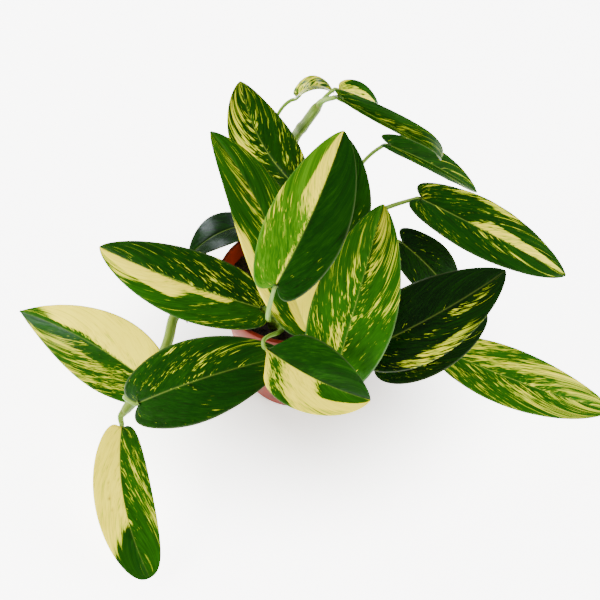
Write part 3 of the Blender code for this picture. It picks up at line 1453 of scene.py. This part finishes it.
@dataclass
class Leaf:
    """A blade with its petiole."""

    plan: LeafPlan
    seed: float
    rows: int = 110
    columns: int = 50
    crowding: float = 1.45
    base_fullness: float = 0.42
    end_half_width: float = 1.0 * MM
    cup: float = 0.10
    hook_from: float = 0.65
    lobe_fade: int = 4
    notch: float = 3.5 * MM
    crease: float = 0.035
    groove_depth: float = 0.35 * MM
    groove_width: float = 1.1 * MM
    skin: float = 0.55 * MM
    rib: float = 1.9 * MM
    rib_width: float = 1.3 * MM
    vein_slant: float = 0.56
    patch_slant: float = 0.17
    vein_spacing: float = 6.5
    vein_relief: float = 0.16 * MM
    ripple: float = 0.9 * MM
    ripple_length: float = 26 * MM
    petiole_radius: float = 2.5 * MM
    petiole_end_radius: float = 1.6 * MM
    petiole_foot: float = 1.35
    petiole_step: float = 1.2 * MM
    petiole_tail: float = 0.22
    petiole_foot_length: float = 5.0 * MM
    petiole_collar: float = 3.0 * MM
    petiole_start_gap: float = 0.3 * MM
    petiole_end_overlap: float = 2.0 * MM
    rib_colour_width: float = 0.5 * MM
    margin_share: float = 0.045
    slant_power: float = 1.3

    def __post_init__(self) -> None:
        """Set the blade's own directions."""
        base, tip, facing = at(self.plan.base), at(self.plan.tip), np.array(self.plan.facing, float)
        self.base = base
        self.length = float(np.linalg.norm(tip - base))
        self.along = unit(tip - base)
        self.out = unit(facing - self.along * facing.dot(self.along))
        self.right = np.cross(self.along, self.out)

    def midrib(self, t: np.ndarray) -> np.ndarray:
        """Lay the midrib.

        Args:
            t: Shares of its length.

        Returns:
            Its points there.
        """
        plan = self.plan
        power = plan.bow_at / (1 - plan.bow_at)
        lift = ((t / plan.bow_at) ** power * (1 - t) / (1 - plan.bow_at) * MM)[:, None]
        past = np.maximum(t - self.hook_from, 0) / (1 - self.hook_from)
        hooked = (plan.hook * MM * past**2)[:, None]
        straight = self.base + self.along * (self.length * t)[:, None]
        bowed = straight + (self.out * plan.arch + self.right * plan.sway) * lift
        return bowed - (self.out + self.along / 2) * hooked

    def frames(self, t: np.ndarray) -> tuple[np.ndarray, np.ndarray, np.ndarray]:
        """Find the midrib's own directions.

        Args:
            t: Shares of its length.

        Returns:
            Its direction, its upper side and its right side there.
        """
        step = 0.01
        ahead = self.midrib(np.minimum(t + step, 1)) - self.midrib(np.maximum(t - step, 0))
        along = unit(ahead)
        out = unit(self.out - along * (along @ self.out)[:, None])
        return along, out, np.cross(along, out)

    def fullness(self, t: np.ndarray) -> np.ndarray:
        """Find how wide the blade is.

        Args:
            t: Shares of its length.

        Returns:
            Its width there, as a share of its greatest width.
        """
        first, last = self.base_fullness, self.plan.taper
        widest = first / (first + last)
        return (t / widest) ** first * ((1 - t) / (1 - widest)) ** last

    def sheet(self) -> tuple[np.ndarray, np.ndarray, np.ndarray, np.ndarray]:
        """Lay the blade's upper surface.

        Returns:
            Its points, row by row, and each point's share of the length, side share, and
            half width in metres.
        """
        plan = self.plan
        t = 0.5 - 0.5 * np.cos(math.pi * np.linspace(0, 1, self.rows))
        even = np.linspace(-1, 1, self.columns + 1)
        s = np.sign(even) * np.abs(even) ** self.crowding
        along, out, right = self.frames(t)
        full = self.fullness(t)
        half = np.maximum(plan.width * MM / 2 * full, self.end_half_width)
        fold = math.radians(plan.fold)
        grid_t, grid_s = np.meshgrid(t, s, indexing="ij")
        grid_half = np.repeat(half[:, None], len(s), axis=1)
        creased = np.sqrt(grid_s**2 + self.crease**2) - self.crease
        from_rib = grid_s * grid_half
        groove = self.groove_depth * np.exp(-((from_rib / self.groove_width) ** 2))
        groove *= np.minimum(grid_half / (4 * self.groove_width), 1)
        rise = grid_half * (creased * math.sin(fold) - self.cup * grid_s**2) - groove
        lobed = 4 * full * (1 - full) * (1 - t) ** self.lobe_fade
        back = plan.lobe * MM * grid_s**2 * lobed[:, None]
        points = (
            self.midrib(t)[:, None, :]
            + right[:, None, :] * (from_rib * math.cos(fold))[:, :, None]
            + out[:, None, :] * rise[:, :, None]
            - along[:, None, :] * back[:, :, None]
        )
        return points.reshape(-1, 3), grid_t.ravel(), grid_s.ravel(), grid_half.ravel()

    def tones(self, t: np.ndarray, s: np.ndarray) -> tuple[np.ndarray, np.ndarray]:
        """Paint the blade's wishes for cream and light green.

        Args:
            t: Each point's share of the length.
            s: Each point's side share.

        Returns:
            The wish for cream and the wish for light green at each point.
        """
        pattern = self.plan.pattern
        on_right = np.clip(s / 0.02 + 0.5, 0, 1)
        cream = pattern.cream[0] * (1 - on_right) + pattern.cream[1] * on_right
        light = pattern.light[0] * (1 - on_right) + pattern.light[1] * on_right
        slanted = t - self.patch_slant * np.abs(s) ** self.slant_power
        for patch in pattern.patches:
            sides = window(s, patch.s[0], patch.s[1], min(patch.soft, 0.08))
            cream = cream + patch.cream * window(slanted, *patch.t, patch.soft) * sides
        return np.clip(cream, 0, 1.1), np.clip(light, 0, 1)

    def build_blade(self, relief: GeometryTree, skins: dict[Side, bpy.types.Material]) -> None:
        """Build the blade.

        Args:
            relief: The tree that raises the side veins.
            skins: The blade's material on each side.
        """
        points, t, s, half = self.sheet()
        mm_across = (t - self.vein_slant * np.abs(s) ** self.slant_power) * self.length / MM
        veins = np.stack((mm_across, np.abs(s) * half / MM, self.seed + np.sign(s) * 3), axis=1)
        cream, light = self.tones(t, s)
        rib_fade = np.exp(-((s * half / self.rib_colour_width) ** 2)) * (1 - t) ** 0.5
        tone = np.stack((cream, light, rib_fade), axis=1)
        margin = np.clip((np.abs(s) - 1 + self.margin_share) / self.margin_share, 0, 1)
        spots = np.zeros(len(t))
        for spot_t, spot_s, radius in self.plan.pattern.spots:
            off = np.hypot((t - spot_t) * self.length, (s - spot_s) * half) / (radius * MM)
            spots = np.maximum(spots, np.exp(-(off**2)))
        edge = np.stack((margin, spots, np.zeros(len(t))), axis=1)
        wide = self.columns + 1
        faces = [
            (row + k, row + k + 1, row + wide + k + 1, row + wide + k)
            for row in range(0, (self.rows - 1) * wide, wide)
            for k in range(self.columns)
        ]
        name = f"blade_{self.plan.name}"
        blade = closed_piece(name, points, faces, {"veins": veins, "tone": tone, "edge": edge})
        blade.data.materials.append(skins[Side.UPPER])
        blade.data.materials.append(skins[Side.LOWER])
        ribs = blade.vertex_groups.new(name="rib")
        rib_share = np.exp(-((s * half / self.rib_width) ** 2)) * (1 - t)
        thick = self.skin + (self.rib - self.skin) * rib_share
        for index, share in enumerate(thick / self.rib):
            ribs.add((index,), float(share), "REPLACE")
        relief.put_on(
            blade,
            Vein_spacing=self.vein_spacing,
            Vein_relief=self.vein_relief,
            Ripple=self.ripple,
            Ripple_length=self.ripple_length,
            Seed=self.seed,
        )
        wall = blade.modifiers.new("thickness", "SOLIDIFY")
        wall.thickness = self.rib
        wall.offset = -1.0
        wall.vertex_group = "rib"
        wall.material_offset = 1
        wall.material_offset_rim = 0
        blade = baked(blade)
        blade.vertex_groups.clear()
        hand_over(blade, Slot.BLADE, f"leaf_{self.plan.name}")

    def petiole_line(self, vine: Vine) -> np.ndarray:
        """Lay the petiole from inside its stem to under the blade's midrib.

        Args:
            vine: The stem it grows from.

        Returns:
            Points along it.
        """
        plan = self.plan
        start, direction = vine.place(plan.share)
        along, out, _ = (vectors[0] for vectors in self.frames(np.array((0.0,))))
        end = self.base - along * self.notch - out * self.petiole_end_radius
        if plan.leaves_by:
            away = unit(np.array(plan.leaves_by, float))
        else:
            away = unit(end - start)
        if plan.share == 1.0:
            off = direction
            skin = start
        else:
            off = unit(away - direction * away.dot(direction))
            skin = start + off * vine.radius
        collar = skin + off * self.petiole_collar
        if plan.arrives_by:
            arrival = unit(np.array(plan.arrives_by, float))
        else:
            arrival = unit(along + UP)
        reach = np.linalg.norm(end - collar) / 3
        curve = bezier(
            (collar, collar + unit(away + off) * reach, end - arrival * reach, end), 24
        )
        tail_t = np.linspace(0.02, self.petiole_tail, 8)
        _, tail_out, _ = self.frames(tail_t)
        sunk = self.skin + self.petiole_end_radius * np.linspace(0.9, 0.4, 8)
        tail = self.midrib(tail_t) - tail_out * sunk[:, None]
        if plan.share == 1.0:
            head = [start - off * self.petiole_end_overlap]
        else:
            head = [start + off * self.petiole_start_gap, skin]
        knots = np.concatenate((head, curve, tail))
        ends = np.concatenate(([2 * knots[0] - knots[1]], knots, [2 * knots[-1] - knots[-2]]))
        return evenly(smooth_through(ends, 3), self.petiole_step)

    def build_petiole(self, vine: Vine, skin: bpy.types.Material) -> None:
        """Build the petiole.

        Args:
            vine: The stem it grows from.
            skin: Its material.
        """
        line = self.petiole_line(vine)
        along = lengths_along(line)
        share = along / along[-1]
        tail_length = self.petiole_tail * self.length
        past_joint = np.clip((along - (along[-1] - tail_length)) / tail_length, 0, 1)
        swollen = np.exp(-((along / self.petiole_foot_length) ** 2))
        radii = self.petiole_radius * (1 + (self.petiole_foot - 1) * swollen)
        radii += (self.petiole_end_radius - self.petiole_radius) * np.clip(share * 1.6, 0, 1)
        radii *= 1 - 0.72 * past_joint**0.8
        top = self.frames(np.array((self.petiole_tail,)))[1][0]
        sweep = Sweep(line, radii, top, 14, groove=0.30, seed=self.seed)
        petiole = sweep.piece(
            f"stalk_{self.plan.name}", lambda place: 0.5 * window(place, -1.0, 2.5 * MM, 1e-3)
        )
        petiole.data.materials.append(skin)
        hand_over(petiole, Slot.PETIOLE, f"petiole_{self.plan.name}")


def vein_relief_tree(skin: bpy.types.Material) -> GeometryTree:
    """Make the tree that raises a blade's side veins and ripples its margin.

    Args:
        skin: The upper side's material.

    Returns:
        The tree.  It reads the veins attribute: millimetres across and along the side veins.
    """
    made = GeometryTree("side_veins")
    tree = made.tree
    spacing = made.size("Vein spacing")
    relief = made.size("Vein relief")
    ripple = made.size("Ripple")
    ripple_length = made.size("Ripple length")
    seed = made.size("Seed")
    stored = node(
        tree, "GeometryNodeInputNamedAttribute", {"data_type": "FLOAT_VECTOR"}, Name="veins"
    )
    across, outward, _ = node(tree, "ShaderNodeSeparateXYZ", Vector=stored.outputs[0]).outputs
    turns = maths(tree, "DIVIDE", maths(tree, "MULTIPLY", across, FULL_TURN), spacing)
    wave = maths(tree, "POWER", maths(tree, "ABSOLUTE", maths(tree, "SINE", turns)), 0.6)
    clear_of_rib = maths(tree, "MINIMUM", maths(tree, "MULTIPLY", outward, 0.12), 1.0)
    veins = maths(tree, "MULTIPLY", maths(tree, "MULTIPLY", wave, relief), clear_of_rib)
    place = tree.nodes.new("GeometryNodeInputPosition").outputs[0]
    shifted = node(tree, "ShaderNodeVectorMath", {"operation": "ADD"}, i0=place, i1=seed)
    scale = maths(tree, "DIVIDE", 1.0, ripple_length)
    swell = node(tree, "ShaderNodeTexNoise", Vector=shifted.outputs[0], Scale=scale, Detail=1.0)
    centred = maths(tree, "SUBTRACT", swell.outputs[0], 0.5)
    toward_edge = maths(tree, "MULTIPLY", clear_of_rib, 2.0)
    ripples = maths(
        tree, "MULTIPLY", maths(tree, "MULTIPLY", centred, ripple), toward_edge
    )
    normal = tree.nodes.new("GeometryNodeInputNormal").outputs[0]
    offset = node(
        tree,
        "ShaderNodeVectorMath",
        {"operation": "SCALE"},
        Vector=normal,
        Scale=maths(tree, "ADD", veins, ripples),
    )
    moved = node(
        tree,
        "GeometryNodeSetPosition",
        Geometry=made.start.outputs["Geometry"],
        Offset=offset.outputs[0],
    )
    made.end(moved.outputs[0], skin)
    return made


@dataclass
class Soil:
    """Loose potting mix that fills the pot, with crumbs and bark on top."""

    top: float
    bottom: float
    top_radius: float
    bottom_radius: float
    dome: float = 3.0 * MM
    rings: int = 34
    around: int = 120
    roughness_mm: float = 1.3
    crumb_size: float = 1.0 * MM
    crumbs_per_square_metre: float = 260000.0
    lumps: tuple[tuple[float, float, float], ...] = (
        (190, 0.4, 0.5),
        (310, 1.9, 0.35),
        (470, 3.3, 0.3),
        (700, 5.0, 0.2),
    )

    def height(self, x: np.ndarray, y: np.ndarray) -> np.ndarray:
        """Find the lumpy surface's height.

        Args:
            x: Places on it, from its middle to the right.
            y: The same places, from its middle to the back.

        Returns:
            The height of each place.
        """
        share = np.hypot(x, y) / self.top_radius
        smooth = self.top + self.dome * (1 - share**2)
        raised = np.zeros_like(x)
        for turns, angle, size in self.lumps:
            across = x * math.cos(angle) + y * math.sin(angle)
            beside = y * math.cos(angle + 0.9) - x * math.sin(angle + 0.9)
            raised += size * np.sin(across * turns + angle) * np.cos(beside * turns * 0.83)
        return smooth + raised * self.roughness_mm * MM * np.clip((1 - share) * 8, 0, 1)

    def build(self, mix: bpy.types.Material) -> None:
        """Build the bed of soil and scatter the crumbs on it.

        Args:
            mix: The soil's material.
        """
        angles = np.arange(self.around) / self.around * FULL_TURN
        rings = []
        for ring in range(1, self.rings + 1):
            radius = self.top_radius * ring / self.rings
            x, y = radius * np.cos(angles), radius * np.sin(angles)
            rings.append(np.stack((x, y, self.height(x, y)), axis=1))
        low = np.full(self.around, self.bottom)
        bottom = np.cos(angles) * self.bottom_radius, np.sin(angles) * self.bottom_radius, low
        rings.append(np.stack(bottom, axis=1))
        centre_height = float(self.height(np.zeros(1), np.zeros(1))[0])
        ends = np.array(((0, 0, centre_height), (0, 0, self.bottom)))
        points = np.concatenate(rings + [ends])
        centre, under = len(points) - 2, len(points) - 1
        faces: list[tuple[int, ...]] = []
        for k in range(self.around):
            beside = (k + 1) % self.around
            faces.append((centre, k, beside))
            for ring in range(self.rings):
                here = ring * self.around
                out = here + self.around
                faces.append((here + k, out + k, out + beside, here + beside))
            last = self.rings * self.around
            faces.append((last + k, under, last + beside))
        bed = closed_piece("soil_bed", points, faces)
        faces_outward(bed)
        bed.data.materials.append(mix)
        self.scatter(bed, mix)
        hand_over(bed, Slot.SOIL, "soil")

    def scatter(self, bed: bpy.types.Object, mix: bpy.types.Material) -> None:
        """Scatter crumbs over the bed's upper side.

        Args:
            bed: The bed of soil.
            mix: The crumbs' material.
        """
        made = GeometryTree("soil_crumbs")
        tree = made.tree
        size = made.size("Crumb size")
        density = made.size("Density")
        seed = made.size("Seed")
        normal = tree.nodes.new("GeometryNodeInputNormal").outputs[0]
        upward = node(tree, "ShaderNodeSeparateXYZ", Vector=normal).outputs[2]
        facing_up = node(
            tree, "FunctionNodeCompare", {"operation": "GREATER_THAN"}, i0=upward, i1=0.4
        )
        spread = node(
            tree,
            "GeometryNodeDistributePointsOnFaces",
            Mesh=made.start.outputs["Geometry"],
            Selection=facing_up.outputs[0],
            Density=density,
            Seed=node(tree, "FunctionNodeFloatToInt", Float=seed).outputs[0],
        )
        crumb = node(tree, "GeometryNodeMeshIcoSphere", Radius=size, Subdivisions=1)
        turn = node(
            tree,
            "FunctionNodeRandomValue",
            {"data_type": "FLOAT_VECTOR"},
            i1=(FULL_TURN, FULL_TURN, FULL_TURN),
            Seed=3,
        )
        stretch = node(
            tree,
            "FunctionNodeRandomValue",
            {"data_type": "FLOAT_VECTOR"},
            i0=(0.25, 0.25, 0.2),
            i1=(1.5, 1.0, 0.8),
            Seed=5,
        )
        placed = node(
            tree,
            "GeometryNodeInstanceOnPoints",
            Points=spread.outputs["Points"],
            Instance=crumb.outputs[0],
            Rotation=turn.outputs[0],
            Scale=stretch.outputs[0],
        )
        made.end(placed.outputs[0], mix)
        ground = bpy.data.objects.new("soil_crumbs", bed.data.copy())
        bpy.context.scene.collection.objects.link(ground)
        made.put_on(
            ground, Crumb_size=self.crumb_size, Density=self.crumbs_per_square_metre, Seed=11
        )
        hand_over(baked(ground), Slot.SOIL)


@dataclass
class Pot:
    """A tapered nursery pot with a stepped rim band and drain holes."""

    rim_radius: float = 65.0 * MM
    base_radius: float = 45.0 * MM
    height: float = 110.0 * MM
    wall: float = 1.6 * MM
    floor: float = 2.2 * MM
    band_height: float = 14.0 * MM
    band_step: float = 1.8 * MM
    hole_radius: float = 4.0 * MM
    hole_ring: float = 30.0 * MM
    holes: int = 6
    around: int = 160

    def wall_radius(self, height: float) -> float:
        """Find the tapered wall's outer radius.

        Args:
            height: The height wanted.

        Returns:
            The radius there.
        """
        top = self.rim_radius - self.band_step
        return self.base_radius + (top - self.base_radius) * height / self.height

    def profile(self) -> list[tuple[float, float]]:
        """Lay the wall's section.

        Returns:
            Its radii and heights, from the inside of the floor round to its underside.
        """
        inner_top = self.wall_radius(self.height) - self.wall
        inner_base = self.wall_radius(self.floor) - self.wall
        band = self.height - self.band_height
        lip = self.wall / 2
        soft = 0.5 * MM
        arc = [math.pi * k / 8 for k in range(9)]
        middle = (inner_top + self.rim_radius) / 2
        reach = (self.rim_radius - inner_top) / 2
        section = [(0.0, self.floor), (inner_base - 2 * MM, self.floor)]
        section += [(inner_base, self.floor + 2 * MM)]
        section += [
            (middle - reach * math.cos(a), self.height - lip + lip * math.sin(a)) for a in arc
        ]
        section += [
            (self.rim_radius, band + soft),
            (self.rim_radius - soft * 0.3, band + soft * 0.3),
            (self.rim_radius - soft, band),
            (self.wall_radius(band) + soft, band),
            (self.wall_radius(band) + soft * 0.3, band - soft * 0.3),
            (self.wall_radius(band - soft), band - soft),
        ]
        foot = 1.2 * MM
        section += [(self.wall_radius(foot), foot), (self.base_radius - foot * 0.35, foot * 0.3)]
        section += [(self.base_radius - foot, 0.0), (0.0, 0.0)]
        return section

    def build(self, plastic: bpy.types.Material) -> None:
        """Build the pot and cut its drain holes.

        Args:
            plastic: Its material.
        """
        section = self.profile()
        angles = np.arange(self.around) / self.around * FULL_TURN
        rings = [
            np.stack((r * np.cos(angles), r * np.sin(angles), np.full(self.around, z)), axis=1)
            for r, z in section[1:-1]
        ]
        ends = np.array(((0, 0, section[0][1]), (0, 0, section[-1][1])))
        points = np.concatenate(rings + [ends])
        inside, outside = len(points) - 2, len(points) - 1
        last = (len(rings) - 1) * self.around
        faces: list[tuple[int, ...]] = []
        for k in range(self.around):
            beside = (k + 1) % self.around
            faces.append((inside, k, beside))
            faces.append((outside, last + beside, last + k))
            for ring in range(0, last, self.around):
                after = ring + self.around
                faces.append((ring + k, after + k, after + beside, ring + beside))
        pot = closed_piece("pot_shell", points, faces)
        faces_outward(pot)
        cutter = self.cutter()
        cut = pot.modifiers.new("drain_holes", "BOOLEAN")
        cut.operation = "DIFFERENCE"
        cut.object = cutter
        pot = baked(pot)
        bpy.data.objects.remove(cutter, do_unlink=True)
        pot.data.materials.clear()
        pot.data.materials.append(plastic)
        pot.data.set_sharp_from_angle(angle=math.radians(40))
        hand_over(pot, Slot.POT, "pot")

    def cutter(self) -> bpy.types.Object:
        """Make the plugs that the drain holes are cut with.

        Returns:
            All the plugs, as one object.
        """
        work = bmesh.new()
        for index in range(self.holes):
            angle = FULL_TURN * index / self.holes
            made = bmesh.ops.create_cone(
                work,
                cap_ends=True,
                segments=24,
                radius1=self.hole_radius,
                radius2=self.hole_radius,
                depth=3 * self.floor,
            )
            place = Vector((math.cos(angle), math.sin(angle), 0)) * self.hole_ring
            bmesh.ops.translate(work, verts=made["verts"], vec=place)
        mesh = bpy.data.meshes.new("drain_plugs")
        work.to_mesh(mesh)
        work.free()
        plugs = bpy.data.objects.new("drain_plugs", mesh)
        bpy.context.scene.collection.objects.link(plugs)
        return plugs


# The studio


@dataclass(frozen=True)
class Softbox:
    """A square area light that looks at the plant.

    One that isn't mirrored lights the leaves and leaves no glare on them.
    """

    name: str
    place: tuple[float, float, float]
    size: float
    watts: float
    colour: str
    mirrored: bool = True

    def build(self, target: Vector) -> None:
        """Put the light up, aimed at a point.

        Args:
            target: The point it looks at.
        """
        light = bpy.data.lights.new(self.name, "AREA")
        light.size = self.size
        light.energy = self.watts
        light.color = linear(self.colour)[:3]
        lamp = bpy.data.objects.new(self.name, light)
        lamp.visible_glossy = self.mirrored
        lamp.location = self.place
        lamp.rotation_euler = (target - Vector(self.place)).to_track_quat("-Z", "Y").to_euler()
        bpy.context.scene.collection.objects.link(lamp)


@dataclass(frozen=True)
class Studio:
    """A pale floor, a dim even room, softboxes and the camera."""

    floor_size: float = 12.0
    room: str = "#FFFFFF"
    room_strength: float = 0.25
    camera_place: tuple[float, float, float] = (0.0025, -0.784, 1.0206)
    camera_target: tuple[float, float, float] = (0.0025, 0.0, 0.086)
    lens: float = 90.0
    sensor_width: float = 36.0
    softboxes: tuple[Softbox, ...] = (
        Softbox("left", (-2.0, -0.5, 0.75), 1.5, 140.0, "#FFFCF4", False),
        Softbox("right", (2.0, -0.6, 0.75), 1.5, 122.0, "#FFFDF8", False),
        Softbox("back_left", (-1.2, 1.6, 1.5), 0.7, 36.0, "#EEF5FF"),
        Softbox("window", (0.6, 1.9, 1.4), 0.6, 14.0, "#DCECFF"),
    )

    def build(self, acrylic: bpy.types.Material) -> None:
        """Set up the studio.

        Args:
            acrylic: The floor's material.
        """
        half = self.floor_size / 2
        corners = half * np.array(((-1, -1, 0), (1, -1, 0), (1, 1, 0), (-1, 1, 0)))
        floor = closed_piece("floor", corners, [(0, 1, 2, 3)])
        floor.data.materials.append(acrylic)
        world = bpy.data.worlds.new("room")
        world.use_nodes = True
        sky = world.node_tree.nodes["Background"]
        sky.inputs["Color"].default_value = linear(self.room)
        sky.inputs["Strength"].default_value = self.room_strength
        bpy.context.scene.world = world
        target = Vector(self.camera_target)
        for softbox in self.softboxes:
            softbox.build(target)
        data = bpy.data.cameras.new("camera")
        data.lens = self.lens
        data.sensor_width = self.sensor_width
        camera = bpy.data.objects.new("camera", data)
        camera.location = self.camera_place
        camera.rotation_euler = (target - camera.location).to_track_quat("-Z", "Y").to_euler()
        bpy.context.scene.collection.objects.link(camera)
        bpy.context.scene.camera = camera


def main() -> None:
    """Build every piece of the plant in order."""
    logging.basicConfig(level=logging.INFO, format="%(name)s: %(message)s")
    # The floor glows with painted light, though it is no lamp, and carries a painted shadow round
    # the pot.
    Studio().build(GlowingFloor("white acrylic with painted glow", 0.9).build())
    pot = Pot()
    pot.build(MouldedPlastic("moulded polypropylene", 0.55, 1.28).build())
    soil_low, soil_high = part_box("soil")
    soil = Soil(
        top=pot.height - SOIL_BELOW_RIM,
        bottom=soil_low[2],
        top_radius=soil_high[0],
        bottom_radius=pot.wall_radius(pot.floor) - pot.wall - AIR_GAP,
    )
    soil.build(PottingMix("peat and bark mix", 0.95).build())
    vine_skin = StemSkin("green stem, grown", 0.50, 1.40).build()
    petiole_skin = StemSkin(
        "petiole, grown", 0.46, 1.40, dark="#3A5E10", middle="#5E8226", pale="#98AE50", line_mm=0.9
    ).build()
    skins = {
        Side.UPPER: LeafSkin("waxed leaf, upper side", 0.24, 1.36).build(),
        Side.LOWER: LeafSkin("leaf, lower side", 0.55, side=Side.LOWER).build(),
    }
    socket_floor = pot.height - SOIL_BELOW_RIM - SOCKET_DEPTH + AIR_GAP
    vines = {}
    for number, plan in enumerate(VINES):
        vine = Vine(plan, socket_floor, pot.height - COLLAR_BELOW_RIM, seed=number * 5.0)
        joints = [leaf.share for leaf in LEAVES if leaf.vine == plan.name]
        vine.build([joint for joint in joints if joint < 1.0], vine_skin)
        vines[plan.name] = vine
    relief = vein_relief_tree(skins[Side.UPPER])
    for number, plan in enumerate(LEAVES):
        leaf = Leaf(plan, seed=number * 11.3)
        leaf.build_blade(relief, skins)
        leaf.build_petiole(vines[plan.vine], petiole_skin)


if __name__ == "__main__":
    main()
